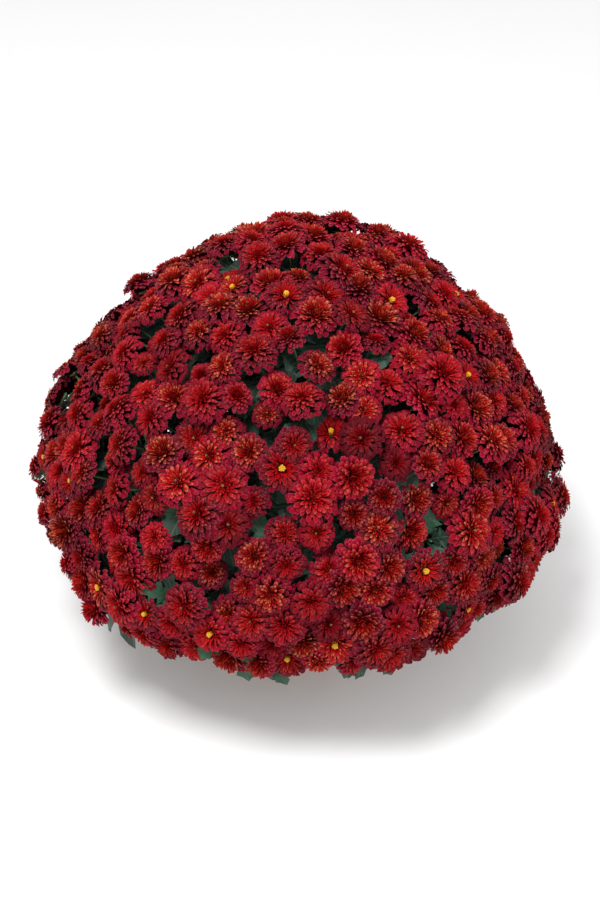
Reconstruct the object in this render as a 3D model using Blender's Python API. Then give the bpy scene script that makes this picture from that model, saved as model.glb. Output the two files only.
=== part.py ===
"""Pot chrysanthemum: a cushion of double blooms carried on leafy shoots in a round nursery pot.

Metres, +Z up. The origin is the middle of the pot's flat base.
"""

import math
import random

import bmesh
import bpy
from mathutils import Vector
from mathutils.bvhtree import BVHTree
from mathutils.geometry import delaunay_2d_cdt
from mathutils.kdtree import KDTree

# Pot: a low moulded pan with a rolled rim band and drain holes
POT_HEIGHT = 0.150
POT_SIDES = 24
RIM_RADIUS = 0.118
RIM_BAND_HEIGHT = 0.020
RIM_BAND_STEP = 0.0045
RIM_BAND_DRAFT = 0.001
POT_BASE_RADIUS = 0.084
POT_WALL = 0.0025
POT_FLOOR = 0.003
DRAIN_HOLES = 6
DRAIN_HOLE_RADIUS = 0.006
DRAIN_HOLE_SIDES = 6
DRAIN_CIRCLE_RADIUS = 0.058
POT_SHARP_EDGE = math.radians(30)

# Soil: a plug that fills the pot to just under its rim
SOIL_TOP = 0.132
SOIL_CROWN = 0.004
STEM_HOLE_DEPTH = 0.012
STEM_HOLE_ROOM = 0.0005

# Cushion: the surface through the blooms' centres, a dome of revolution with a short tucked skirt and a
# low crown in the middle, where the first shoots outgrow the rest
CUSHION_RADIUS = 0.2855
CUSHION_RISE = 0.2974
CUSHION_TUCK = 0.1047
CUSHION_LEVEL = 0.1798
CUSHION_PEAK = 1.166
SKIRT_ANGLE = math.radians(107.7)
SKIRT_RAGGED = math.radians(9.2)
CUSHION_AREA = 0.56
CROWN_LIFT = 0.0134
CROWN_WIDTH = 0.561
PARTING = 1.15
PARTING_ROUNDS = 40
PARTING_SHARE = 0.22
GOLDEN_TURN = math.pi * (3 - math.sqrt(5))
SAME_PLACE = 1e-6

# Blooms: double heads, each a star of outer petals round a raised crown of inner ones
BLOOMS = 496
BLOOM_SEED = 4486
BLOOM_RADIUS = 0.0230
BLOOM_RADIUS_SPREAD = 0.0032
BLOOM_SHIFT = 0.012
BLOOM_LIFT = 0.0050
BLOOM_TILT = math.radians(11)
FACE_UP = 0.22
OUTER_PETALS = 5
CROWN_REACH = 0.60
CROWN_HEIGHT = 0.0095
DISC_HEIGHT = 0.0050
CALYX_DEPTH = 0.0125
NEIGHBOUR_REACH = 0.090
# A direction that no bloom faces, to take its side axes from
OFF_AXIS = Vector((0.31, 0.17, 0.93))

# Leafy places: a few in the lower two thirds of the cushion hold leaves instead of a bloom
LEAFY_PLACE_EVERY = 24
LEAFY_PLACE_FIRST = 150
LEAFY_PLACE_LEAVES = 3
LEAFY_PLACE_UPRIGHT = 0.8
LEAFY_PLACE_LEAN = 0.6
LEAFY_LEAF_LENGTH = 0.036

# Sprays: groups of blooms that one shoot carries, each bulging a little, with a crease between them
SPRAYS = 27
SPRAY_LIFT = 0.0065
SPRAY_BULGE = 0.0040
SPRAY_REACH = 0.075
NECK_HALF_WIDTH = 0.0030
NECK_DEPTH = 0.0028
INSIDE_ROUNDS = 4

# Shoots: a stem from the soil, a leafy head under each spray, and lobed leaves round it
CROWN_CIRCLE_RADIUS = 0.070
STEM_RADIUS = 0.0034
STEM_TOP_RADIUS = 0.0045
STEM_SIDES = 3
STEM_STEPS = 4
STEM_SPRING = 0.060
STEM_SPREAD = 0.3
HEAD_DEPTH = 0.055
HEAD_ROUNDS = 12
HEAD_LET_DOWN = 0.0015
HEAD_TOUCH = 0.00021
STEM_IN_HEAD = 0.022
LEAVES_PER_SHOOT = 3
LEAF_LENGTH = 0.050
LEAF_DROOP = 0.22
LEAF_ARCH = 0.5
LEAF_RIB_PLACE = 0.5
LEAF_HALF_THICKNESS = 0.0010
LEAF_SINK = 0.0060
LEAF_ROOT_DEPTH = 0.28
LEAF_FACE_UP = 0.5
# A leaf is tried a little wider and thicker than it is, so that it stands clear of what it passes
GUARD_SPREAD = 1.06
GUARD_HALF_THICKNESS = 0.0018
# How far round from the head's side a leaf may point, in order of choice: level, and where it hangs
STANDING_TILTS = (-0.8, -0.3, 0.3)
HANGING_TILTS = (0.1, -0.4)
HANGING_BELOW = -0.6
# Half of a lobed leaf's outline: along its length and across it, as shares of the length
LEAF_EDGE = ((0.30, 0.27), (0.44, 0.13), (0.68, 0.24))

# Clearances between pieces that touch in the real plant
SEAT_GAP = 0.0003
BLOOM_GAP = 0.0006
SPRAY_GAP = 0.0007

TERRACOTTA = ("terracotta_plastic", (0.45, 0.17, 0.09), 0.55)
SOIL = ("potting_mix", (0.055, 0.035, 0.022), 0.95)
LEAF_GREEN = ("leaf_green", (0.055, 0.125, 0.050), 0.60)
CRIMSON = ("crimson_petals", (0.38, 0.010, 0.018), 0.55)


def finish_material(finish):
    """The Principled material of one finish, made once and shared."""
    name, colour, roughness = finish
    material = bpy.data.materials.get(name)
    if material is None:
        material = bpy.data.materials.new(name)
        material.use_nodes = True
        shader = material.node_tree.nodes["Principled BSDF"]
        shader.inputs["Base Color"].default_value = (*colour, 1.0)
        shader.inputs["Roughness"].default_value = roughness
        shader.inputs["Metallic"].default_value = 0.0
    return material


def add_object(name, mesh, finish, collection=None):
    """Puts a mesh in the scene as one named object."""
    piece = bpy.data.objects.new(name, mesh)
    if not mesh.materials:
        mesh.materials.append(finish_material(finish))
    (collection or bpy.context.scene.collection).objects.link(piece)
    return piece


def mesh_from(name, points, faces):
    """A closed mesh with its faces turned outwards."""
    mesh = bpy.data.meshes.new(name)
    mesh.from_pydata(points, [], faces)
    work = bmesh.new()
    work.from_mesh(mesh)
    bmesh.ops.recalc_face_normals(work, faces=work.faces)
    work.to_mesh(mesh)
    work.free()
    return mesh


def combine(piece, meshes, operation, finish):
    """Joins closed meshes to an object, or cuts them from it, in one Boolean for them all."""
    others = bpy.data.collections.new(piece.name + "_others")
    bpy.context.scene.collection.children.link(others)
    for number, mesh in enumerate(meshes):
        add_object(f"{piece.name}_other_{number}", mesh, finish, others)
    boolean = piece.modifiers.new("boolean", "BOOLEAN")
    boolean.operation = operation
    boolean.operand_type = "COLLECTION"
    boolean.collection = others
    boolean.solver = "MANIFOLD"
    bpy.context.view_layer.update()
    graph = bpy.context.evaluated_depsgraph_get()
    result = bpy.data.meshes.new_from_object(piece.evaluated_get(graph))
    piece.modifiers.remove(boolean)
    piece.data = result
    for other in list(others.objects):
        bpy.data.objects.remove(other)
    bpy.data.collections.remove(others)


def turned(profile, sides):
    """Points and faces of a solid of revolution. Its profile runs from axis to axis as (radius, height)."""
    points = [(0, 0, profile[0][1])]
    for radius, height in profile[1:-1]:
        for side in range(sides):
            turn = 2 * math.pi * side / sides
            points.append((radius * math.cos(turn), radius * math.sin(turn), height))
    points.append((0, 0, profile[-1][1]))
    last = len(points) - 1
    rings = len(profile) - 2
    faces = []
    for side in range(sides):
        after = (side + 1) % sides
        faces.append((0, 1 + after, 1 + side))
        for ring in range(rings - 1):
            low = 1 + ring * sides
            high = low + sides
            faces.append((low + side, low + after, high + after, high + side))
        top = 1 + (rings - 1) * sides
        faces.append((last, top + side, top + after))
    return points, faces


def prism(centre, radius, low, high, sides, turn=0.0):
    """Points and faces of an upright prism, used as a hole's cutter."""
    points = []
    for height in (low, high):
        for side in range(sides):
            angle = turn + 2 * math.pi * side / sides
            x = centre[0] + radius * math.cos(angle)
            y = centre[1] + radius * math.sin(angle)
            points.append((x, y, height))
    faces = [tuple(range(sides))[::-1], tuple(range(sides, 2 * sides))]
    for side in range(sides):
        after = (side + 1) % sides
        faces.append((side, after, sides + after, sides + side))
    return points, faces


def pot_wall_radius(height):
    """Outer radius of the tapered wall at a height."""
    neck = RIM_RADIUS - RIM_BAND_STEP
    return POT_BASE_RADIUS + (neck - POT_BASE_RADIUS) * height / (POT_HEIGHT - RIM_BAND_HEIGHT)


def build_pot():
    """The pot: a thin tapered wall with a stepped rim band, and drain holes through its floor."""
    band_foot = POT_HEIGHT - RIM_BAND_HEIGHT
    profile = [
        (0, 0),
        (POT_BASE_RADIUS, 0),
        (pot_wall_radius(band_foot), band_foot),
        (RIM_RADIUS - RIM_BAND_DRAFT, band_foot),
        (RIM_RADIUS, POT_HEIGHT),
        (RIM_RADIUS - RIM_BAND_STEP, POT_HEIGHT),
        (pot_wall_radius(band_foot) - POT_WALL, band_foot),
        (pot_wall_radius(POT_FLOOR) - POT_WALL, POT_FLOOR),
        (0, POT_FLOOR),
    ]
    pot = add_object("pot", mesh_from("pot", *turned(profile, POT_SIDES)), TERRACOTTA)
    drains = []
    for hole in range(DRAIN_HOLES):
        turn = 2 * math.pi * hole / DRAIN_HOLES
        centre = (DRAIN_CIRCLE_RADIUS * math.cos(turn), DRAIN_CIRCLE_RADIUS * math.sin(turn))
        cutter = prism(centre, DRAIN_HOLE_RADIUS, -POT_FLOOR, 2 * POT_FLOOR, DRAIN_HOLE_SIDES)
        drains.append(mesh_from("drain", *cutter))
    combine(pot, drains, "DIFFERENCE", TERRACOTTA)
    pot.data.shade_smooth()
    pot.data.set_sharp_from_angle(angle=POT_SHARP_EDGE)


def build_soil(holes):
    """The plug of potting mix, with a plain hole for each stem."""
    floor = POT_FLOOR + SEAT_GAP
    inside = pot_wall_radius(floor) - POT_WALL - 2 * SEAT_GAP
    brim = pot_wall_radius(SOIL_TOP) - POT_WALL - 2 * SEAT_GAP
    profile = [(0, floor), (inside, floor), (brim, SOIL_TOP), (0, SOIL_TOP + SOIL_CROWN)]
    soil = add_object("potting_soil", mesh_from("soil", *turned(profile, POT_SIDES)), SOIL)
    low = SOIL_TOP - STEM_HOLE_DEPTH
    high = SOIL_TOP + STEM_HOLE_DEPTH
    sockets = []
    for hole in holes:
        socket = prism((hole.x, hole.y), STEM_RADIUS + 2 * STEM_HOLE_ROOM, low, high, STEM_SIDES, hole.turn)
        sockets.append(mesh_from("socket", *socket))
    combine(soil, sockets, "DIFFERENCE", SOIL)


class Site:
    """One bloom's place: where it stands, how it faces, and which spray it belongs to."""

    def __init__(self, centre, axis, radius):
        self.centre = centre
        self.axis = axis
        self.radius = radius
        self.spray = 0
        self.leafy = False
        self.links = []
        self.base = centre - axis * CALYX_DEPTH


class StemHole:
    """A stem's hole in the soil: its place, and the turn of the stem's sides."""

    def __init__(self, x, y, turn):
        self.x = x
        self.y = y
        self.turn = turn


def even_places(count, shift, draw):
    """Places over the cushion as (angle from its top, azimuth): a shaken spiral whose crowded points part."""
    spots = []
    hems = [SKIRT_ANGLE - draw.uniform(0, SKIRT_RAGGED) for _ in range(count)]
    for number in range(count):
        angle = math.acos(1 - (1 - math.cos(SKIRT_ANGLE)) * (number + 0.5) / count)
        point = cushion_point(angle, number * GOLDEN_TURN)
        spots.append(point + Vector([draw.uniform(-shift, shift) for _ in range(3)]))
    wanted = PARTING * math.sqrt(CUSHION_AREA / count)
    for _ in range(PARTING_ROUNDS):
        tree = KDTree(count)
        for number, spot in enumerate(spots):
            tree.insert(spot, number)
        tree.balance()
        moved = []
        for spot, hem in zip(spots, hems):
            push = Vector()
            for other, _, distance in tree.find_range(spot, wanted):
                if distance > SAME_PLACE:
                    push += (spot - other) * (wanted / distance - 1) * PARTING_SHARE
            angle, azimuth = cushion_angles(spot + push)
            moved.append(cushion_point(min(angle, hem), azimuth))
        spots = moved
    return [cushion_angles(spot) for spot in spots]


def cushion_angles(point):
    """Angle from the cushion's top and azimuth of the place on it nearest to a point."""
    level = point.z - CUSHION_LEVEL
    rise = CUSHION_RISE if level > 0 else CUSHION_TUCK
    out = (math.hypot(point.x, point.y) / CUSHION_RADIUS) ** (1 / CUSHION_PEAK)
    return min(math.atan2(out, level / rise), SKIRT_ANGLE), math.atan2(point.y, point.x)


def cushion_point(angle, azimuth):
    """The cushion's surface at an angle down from its top: drawn in towards a peak, with a tucked skirt."""
    rise = CUSHION_RISE if angle < math.pi / 2 else CUSHION_TUCK
    out = CUSHION_RADIUS * math.sin(angle) ** CUSHION_PEAK
    return Vector((out * math.cos(azimuth), out * math.sin(azimuth), CUSHION_LEVEL + rise * math.cos(angle)))


def cushion_normal(angle, azimuth):
    """The way a bloom faces there. The skirt's blooms keep the dome's own curve, so that none looks down."""
    out = CUSHION_RISE * math.sin(angle)
    up = CUSHION_RADIUS * CUSHION_PEAK * math.sin(angle) ** (CUSHION_PEAK - 1) * math.cos(angle)
    return Vector((out * math.cos(azimuth), out * math.sin(azimuth), up)).normalized()


def side_axes(axis):
    """Two directions square to an axis and to each other."""
    across = axis.cross(OFF_AXIS).normalized()
    return across, axis.cross(across)


def nearest(point, centres):
    """The number of the centre nearest to a point."""
    return min(range(len(centres)), key=lambda number: (point - centres[number]).length)


def place_blooms():
    """Every bloom's site, sorted into sprays."""
    draw = random.Random(BLOOM_SEED)
    spray_centres = [cushion_point(*place) for place in even_places(SPRAYS, 0, draw)]
    lifts = [draw.uniform(-SPRAY_LIFT, SPRAY_LIFT) for _ in spray_centres]
    sites = []
    for number, place in enumerate(even_places(BLOOMS, BLOOM_SHIFT, draw)):
        point = cushion_point(*place)
        normal = cushion_normal(*place)
        across, along = side_axes(normal)
        spray = nearest(point, spray_centres)
        edge = (point - spray_centres[spray]).length / SPRAY_REACH
        lift = lifts[spray] - SPRAY_BULGE * edge * edge + draw.uniform(-BLOOM_LIFT, BLOOM_LIFT)
        lift += CROWN_LIFT * max(0, 1 - place[0] / CROWN_WIDTH)
        lean = across * draw.uniform(-1, 1) + along * draw.uniform(-1, 1)
        axis = (normal + lean * math.tan(BLOOM_TILT) + Vector((0, 0, FACE_UP))).normalized()
        radius = BLOOM_RADIUS + draw.uniform(-BLOOM_RADIUS_SPREAD, BLOOM_RADIUS_SPREAD)
        site = Site(point + normal * lift, axis, radius)
        site.spray = spray
        site.leafy = number >= LEAFY_PLACE_FIRST and number % LEAFY_PLACE_EVERY == 0
        site.base = kept_inside(site.base, spray_centres[spray], spray_centres, SPRAY_GAP)
        sites.append(site)
    return sites


def kept_inside(point, own, others, gap):
    """Moves a point back across the midplane between its own centre and any other that it has passed."""
    point = point.copy()
    for _ in range(INSIDE_ROUNDS):
        for other in others:
            towards = other - own
            if towards.length < SAME_PLACE:
                continue
            towards.normalize()
            past = (point - (own + other) / 2).dot(towards) + gap / 2
            if past > 0:
                point -= towards * past
    return point


def link_blooms(sites):
    """Joins a spray's blooms into a tree of nearest neighbours, each pair meeting in a neck of petals."""
    inside = [0]
    outside = list(range(1, len(sites)))
    while outside:
        pairs = [((sites[a].centre - sites[b].centre).length, a, b) for a in inside for b in outside]
        _, a, b = min(pairs)
        middle = (sites[a].centre + sites[b].centre) / 2
        towards = (sites[b].centre - sites[a].centre).normalized()
        upright = sites[a].axis + sites[b].axis
        upright = (upright - towards * upright.dot(towards)).normalized()
        left = upright.cross(towards) * NECK_HALF_WIDTH
        neck = (middle - left, middle + left, middle - upright * NECK_DEPTH)
        sites[a].links.append((middle, neck))
        sites[b].links.append((middle, (neck[1], neck[0], neck[2])))
        inside.append(b)
        outside.remove(b)


def petal_turns(site, across, along):
    """Angles of the outer petals: one on each link, and the rest spread in the widest gaps."""
    full_turn = 2 * math.pi
    turns = {}
    for middle, neck in site.links:
        reach = middle - site.centre
        turns[math.atan2(reach.dot(along), reach.dot(across)) % full_turn] = neck
    while len(turns) < OUTER_PETALS:
        order = sorted(turns)
        pairs = zip(order, order[1:] + order[:1])
        gaps = [(after - before) % full_turn or full_turn for before, after in pairs]
        widest = max(range(len(gaps)), key=lambda number: gaps[number])
        turns[(order[widest] + gaps[widest] / 2) % full_turn] = None
    return sorted(turns.items())


class Shell:
    """Points and faces of one closed mesh, in which a point given twice is one corner."""

    def __init__(self):
        self.points = []
        self.faces = []
        self.known = {}

    def corner(self, point):
        key = tuple(round(value, 6) for value in point)
        if key not in self.known:
            self.known[key] = len(self.points)
            self.points.append(point)
        return self.known[key]


def add_bloom(shell, site, neighbours):
    """One double head: a disc in a raised crown, outer petals round it, and a calyx below."""
    across, along = side_axes(site.axis)
    turns = petal_turns(site, across, along)
    disc = shell.corner(site.centre + site.axis * DISC_HEIGHT)
    calyx = shell.corner(site.base)
    crowns = []
    for number, (turn, _) in enumerate(turns):
        after = turns[(number + 1) % len(turns)][0]
        between = turn + ((after - turn) % (2 * math.pi)) / 2
        crown = (across * math.cos(between) + along * math.sin(between)) * site.radius * CROWN_REACH
        place = site.centre + crown + site.axis * CROWN_HEIGHT
        crowns.append(shell.corner(kept_inside(place, site.centre, neighbours, BLOOM_GAP)))
    for number, (turn, neck) in enumerate(turns):
        before = crowns[number - 1]
        after = crowns[number]
        shell.faces.append((disc, before, after))
        if neck is None:
            tip = site.centre + (across * math.cos(turn) + along * math.sin(turn)) * site.radius
            tip = shell.corner(kept_inside(tip, site.centre, neighbours, BLOOM_GAP))
            shell.faces += [(before, tip, after), (calyx, tip, before), (calyx, after, tip)]
            continue
        right, left, low = [shell.corner(point) for point in neck]
        shell.faces += [(before, right, after), (right, left, after)]
        shell.faces += [(calyx, right, before), (calyx, low, right)]
        shell.faces += [(calyx, after, left), (calyx, left, low)]


def spray_mesh(sites, all_sites):
    """A spray's blooms as one closed mesh."""
    shell = Shell()
    for site in sites:
        neighbours = [
            other.centre
            for other in all_sites
            if other is not site and (other.centre - site.centre).length < NEIGHBOUR_REACH
        ]
        add_bloom(shell, site, neighbours)
    return mesh_from("spray", shell.points, shell.faces)


def stem_path(hole, top):
    """The stem's line: straight up out of the soil, then arching out to the head."""
    foot = Vector((hole.x, hole.y, SOIL_TOP - STEM_HOLE_DEPTH + SEAT_GAP))
    collar = Vector((hole.x, hole.y, SOIL_TOP + SOIL_CROWN + STEM_HOLE_ROOM))
    lean = Vector((hole.x * STEM_SPREAD, hole.y * STEM_SPREAD, STEM_HOLE_DEPTH + STEM_SPRING))
    points = [foot, collar]
    for step in range(1, STEM_STEPS + 1):
        share = step / STEM_STEPS
        points.append(collar * (1 - share) ** 2 + (foot + lean) * 2 * share * (1 - share) + top * share**2)
    return points


def stem_mesh(path, turn):
    """A tapered stem with a few flat sides."""
    points = []
    level = Vector((math.cos(turn), math.sin(turn), 0))
    for number, point in enumerate(path):
        radius = STEM_RADIUS + (STEM_TOP_RADIUS - STEM_RADIUS) * number / (len(path) - 1)
        before = path[max(number - 1, 0)]
        after = path[min(number + 1, len(path) - 1)]
        along = (after - before).normalized() if number > 1 else Vector((0, 0, 1))
        across = (level - along * along.dot(level)).normalized()
        side = along.cross(across)
        for corner in range(STEM_SIDES):
            angle = 2 * math.pi * corner / STEM_SIDES
            points.append(point + (across * math.cos(angle) + side * math.sin(angle)) * radius)
    last = len(points) - STEM_SIDES
    faces = [tuple(range(STEM_SIDES)), tuple(range(last, last + STEM_SIDES))]
    for ring in range(0, last, STEM_SIDES):
        for corner in range(STEM_SIDES):
            after = (corner + 1) % STEM_SIDES
            above = ring + STEM_SIDES
            faces.append((ring + corner, ring + after, above + after, above + corner))
    return mesh_from("stem", points, faces)


def head_parts(tops, root, axis):
    """Points, faces and rim of a leafy head: a skin through the stalks' tops, drawn in to a root below."""
    across, along = side_axes(axis)
    flat = [Vector(((top - root).dot(across), (top - root).dot(along))) for top in tops]
    _, _, skin, *_ = delaunay_2d_cdt(flat, [], [], 0, SAME_PLACE)
    edges = {edge for face in skin for edge in zip(face, face[1:] + face[:1])}
    rim = sorted(edge for edge in edges if edge[::-1] not in edges)
    sides = [(after, before, len(tops)) for before, after in rim]
    return tops + [root], [tuple(face) for face in skin] + sides, rim


def settled_head(tops, root, axis, obstacles):
    """A leafy head whose skin is let down, corner by corner, wherever a petal would dip into it."""
    tops = list(tops)
    for _ in range(HEAD_ROUNDS):
        raised = [top + axis * HEAD_TOUCH for top in tops]
        points, faces, _ = head_parts(raised, root, axis)
        crossed = obstacles.crossed(points, faces)
        if not crossed:
            break
        for corner in {corner for face in crossed for corner in faces[face]} - {len(tops)}:
            tops[corner] += (root - tops[corner]).normalized() * HEAD_LET_DOWN
    return head_parts(tops, root, axis)


def leaf_parts(root, along, up, length, spread=1.0, half_thickness=LEAF_HALF_THICKNESS):
    """Points and faces of a lobed leaf, thickest at its midrib and arching down towards its tip."""
    side = up.cross(along).normalized()
    up = along.cross(side).normalized()
    outline = [(0.0, 0.0), *LEAF_EDGE, (1.0, 0.0), *[(out, -wide) for out, wide in reversed(LEAF_EDGE)]]
    points = []
    for out, wide in outline:
        droop = LEAF_DROOP * out * out + LEAF_ARCH * wide * wide
        points.append(root + (along * out * spread + side * wide * spread - up * droop) * length)
    rib = root + (along * LEAF_RIB_PLACE - up * LEAF_DROOP * LEAF_RIB_PLACE**2) * length
    points += [rib + up * half_thickness, rib - up * half_thickness]
    count = len(outline)
    faces = []
    for number in range(count):
        after = (number + 1) % count
        faces += [(number, after, count), (after, number, count + 1)]
    return points, faces


class Obstacles:
    """Everything built so far, as trees of triangles that a new piece must keep clear of."""

    def __init__(self):
        self.trees = []

    def add(self, owner, points, faces):
        self.trees.append((owner, BVHTree.FromPolygons(points, faces)))

    def crossed(self, points, faces, owner=""):
        """The numbers of the faces that cross something of another owner."""
        piece = BVHTree.FromPolygons(points, faces)
        return {face for known, tree in self.trees if known != owner for face, _ in piece.overlap(tree)}


def parts_of(mesh):
    """Points and faces of a mesh."""
    return [vertex.co.copy() for vertex in mesh.vertices], [tuple(face.vertices) for face in mesh.polygons]


class Shoot:
    """One shoot: its stem and head, and where its leaves may stand."""

    def __init__(self, number, sites, hole, obstacles):
        self.name = f"leafy_shoot_{number + 1:02d}"
        self.sites = sites
        self.axis = sum((site.axis for site in sites), Vector()).normalized()
        self.middle = sum((site.base for site in sites), Vector()) / len(sites)
        self.root = self.middle - self.axis * HEAD_DEPTH
        tops = [site.base - site.axis * SEAT_GAP for site in sites]
        points, faces, self.rim = settled_head(tops, self.root, self.axis, obstacles)
        path = stem_path(hole, self.root + self.axis * STEM_IN_HEAD)
        self.meshes = [mesh_from("head", points, faces), stem_mesh(path, hole.turn)]

    def sunk(self, place):
        """A place on the head's skin, moved in towards its core."""
        core = (self.middle + self.root) / 2
        return place + (core - place).normalized() * LEAF_SINK

    def spots(self):
        """Places for leaves, as (root, direction, upper side, length): leafy places first, then the rim's."""
        for site in self.sites:
            if site.leafy:
                yield from self.leafy_place(site)
        edges = [(self.sites[before].base + self.sites[after].base) / 2 for before, after in self.rim]
        for edge in sorted(edges, key=lambda place: place.z):
            outward = edge - self.middle
            outward = (outward - self.axis * outward.dot(self.axis)).normalized()
            foot = self.sunk(edge.lerp(self.root, LEAF_ROOT_DEPTH))
            for tilt in HANGING_TILTS if outward.z < HANGING_BELOW else STANDING_TILTS:
                along = (outward + self.axis * tilt).normalized()
                yield foot, along, self.axis + Vector((0, 0, LEAF_FACE_UP)), LEAF_LENGTH

    def leafy_place(self, site):
        """A ring of upright leaves that stands where a bloom would."""
        across, along = side_axes(site.axis)
        foot = self.sunk(site.base)
        for number in range(LEAFY_PLACE_LEAVES):
            turn = 2 * math.pi * number / LEAFY_PLACE_LEAVES
            lean = across * math.cos(turn) + along * math.sin(turn)
            direction = (site.axis * LEAFY_PLACE_UPRIGHT + lean * LEAFY_PLACE_LEAN).normalized()
            yield foot, direction, site.axis - lean, LEAFY_LEAF_LENGTH

    def add_leaves(self, obstacles, wanted):
        """Adds the first leaves that keep clear of all else."""
        for foot, along, up, length in self.spots():
            guard = leaf_parts(foot, along, up, length, GUARD_SPREAD, GUARD_HALF_THICKNESS)
            if wanted and not obstacles.crossed(*guard, self.name):
                leaf = leaf_parts(foot, along, up, length)
                self.meshes.append(mesh_from("leaf", *leaf))
                obstacles.add(self.name + "_leaf", *guard)
                wanted -= 1


def stem_holes():
    """The stems' places in the soil: the sprays' own spiral, drawn in to the pot."""
    holes = []
    for number in range(SPRAYS):
        reach = CROWN_CIRCLE_RADIUS * math.sqrt((number + 0.5) / SPRAYS)
        azimuth = number * GOLDEN_TURN
        holes.append(StemHole(reach * math.cos(azimuth), reach * math.sin(azimuth), azimuth))
    return holes


def build():
    """Builds every piece: the pot, its soil, the sprays, and then the shoots that keep clear of them."""
    for leftover in list(bpy.data.objects):
        bpy.data.objects.remove(leftover)
    holes = stem_holes()
    build_pot()
    build_soil(holes)
    sites = place_blooms()
    blooming = [site for site in sites if not site.leafy]
    obstacles = Obstacles()
    shoots = []
    for number in range(SPRAYS):
        own = [site for site in sites if site.spray == number]
        heads = [site for site in own if not site.leafy]
        link_blooms(heads)
        spray = spray_mesh(heads, blooming)
        add_object(f"bloom_spray_{number + 1:02d}", spray, CRIMSON)
        obstacles.add("spray", *parts_of(spray))
    for number in range(SPRAYS):
        own = [site for site in sites if site.spray == number]
        shoots.append(Shoot(number, own, holes[number], obstacles))
    for piece in ("pot", "potting_soil"):
        obstacles.add(piece, *parts_of(bpy.data.objects[piece].data))
    for shoot in shoots:
        for mesh in shoot.meshes:
            obstacles.add(shoot.name, *parts_of(mesh))
    for shoot in shoots:
        shoot.add_leaves(obstacles, LEAVES_PER_SHOOT)
        piece = add_object(shoot.name, shoot.meshes[0], LEAF_GREEN)
        combine(piece, shoot.meshes[1:], "UNION", LEAF_GREEN)


build()
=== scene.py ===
import math
import random

import bmesh
import bpy
from mathutils import Matrix, Vector, noise
from mathutils.kdtree import KDTree


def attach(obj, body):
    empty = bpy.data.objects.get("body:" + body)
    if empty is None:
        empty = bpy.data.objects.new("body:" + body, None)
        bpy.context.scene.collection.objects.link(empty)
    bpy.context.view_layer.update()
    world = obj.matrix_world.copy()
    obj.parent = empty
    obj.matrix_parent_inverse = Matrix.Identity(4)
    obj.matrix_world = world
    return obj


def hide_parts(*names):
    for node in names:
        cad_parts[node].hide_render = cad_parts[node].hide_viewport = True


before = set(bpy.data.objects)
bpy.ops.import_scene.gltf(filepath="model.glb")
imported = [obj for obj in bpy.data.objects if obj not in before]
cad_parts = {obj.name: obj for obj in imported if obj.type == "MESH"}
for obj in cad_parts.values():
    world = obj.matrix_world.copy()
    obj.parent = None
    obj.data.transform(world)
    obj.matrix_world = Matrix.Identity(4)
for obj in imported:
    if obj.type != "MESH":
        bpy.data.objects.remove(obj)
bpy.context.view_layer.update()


# The pot: a plain round nursery pot, moulded in one piece in matt terracotta-coloured plastic with a
# stepped rim band. Its skin is faintly grained from the mould, paler where it is rubbed and dusty low
# down. The solid itself is shown, with a finish of its own.

def new_finish(name):
    """A material, its node tree and its shader."""
    material = bpy.data.materials.new(name)
    material.use_nodes = True
    return material, material.node_tree, material.node_tree.nodes["Principled BSDF"]


def node(tree, kind, inputs, **settings):
    """Adds a shader node. An input is a plain value or another node's output."""
    made = tree.nodes.new("ShaderNode" + kind)
    for key, value in settings.items():
        setattr(made, key, value)
    for key, value in inputs.items():
        if isinstance(value, bpy.types.NodeSocket):
            tree.links.new(value, made.inputs[key])
        else:
            made.inputs[key].default_value = value
    return made


def blended(tree, share, first, second, way="MIX"):
    """Two colours mixed by a share."""
    mix = node(tree, "Mix", {0: share, 6: first, 7: second}, data_type="RGBA", blend_type=way)
    return mix.outputs[2]


def between(tree, value, low, high, out_low=0.0, out_high=1.0):
    """A value's place between two others, as a number from out_low to out_high."""
    inputs = {"Value": value, "From Min": low, "From Max": high, "To Min": out_low, "To Max": out_high}
    return node(tree, "MapRange", inputs).outputs["Result"]


def grain(tree, where, scale, detail=4.0, roughness=0.5):
    """Noise over a piece, as one number."""
    inputs = {"Vector": where, "Scale": scale, "Detail": detail, "Roughness": roughness}
    return node(tree, "TexNoise", inputs).outputs["Fac"]


def relief(tree, shader, height, strength, depth):
    """Joins a height to the shader as bump."""
    bump = node(tree, "Bump", {"Height": height, "Strength": strength, "Distance": depth})
    tree.links.new(bump.outputs["Normal"], shader.inputs["Normal"])


def clad(piece, material):
    """Gives every face of a CAD node one material."""
    piece.data.materials.clear()
    piece.data.materials.append(material)


POT_CLAY = (0.46, 0.165, 0.085, 1)
POT_RUBBED = (0.56, 0.235, 0.135, 1)
POT_DUST = (0.30, 0.17, 0.11, 1)
POT_HEIGHT = 0.150

pot_plastic, tree, shader = new_finish("terracotta_plastic")
where = node(tree, "TexCoord", {}).outputs["Object"]
height = node(tree, "SeparateXYZ", {0: where}).outputs["Z"]
clouds = grain(tree, where, 14.0)
colour = blended(tree, between(tree, clouds, 0.35, 0.75), POT_CLAY, POT_RUBBED)
dust = grain(tree, where, 60.0, 6.0, 0.6)
low_dust = between(tree, height, POT_HEIGHT * 0.45, 0.0)
dusty = node(tree, "Math", {0: low_dust, 1: between(tree, dust, 0.45, 0.7)}, operation="MULTIPLY")
dusty = dusty.outputs[0]
colour = blended(tree, between(tree, dusty, 0.0, 1.0, 0.0, 0.45), colour, POT_DUST)
tree.links.new(colour, shader.inputs["Base Color"])
tree.links.new(between(tree, clouds, 0.3, 0.7, 0.44, 0.62), shader.inputs["Roughness"])
relief(tree, shader, grain(tree, where, 900.0, 2.0), 0.25, 0.0004)
clad(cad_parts["pot"], pot_plastic)


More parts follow.
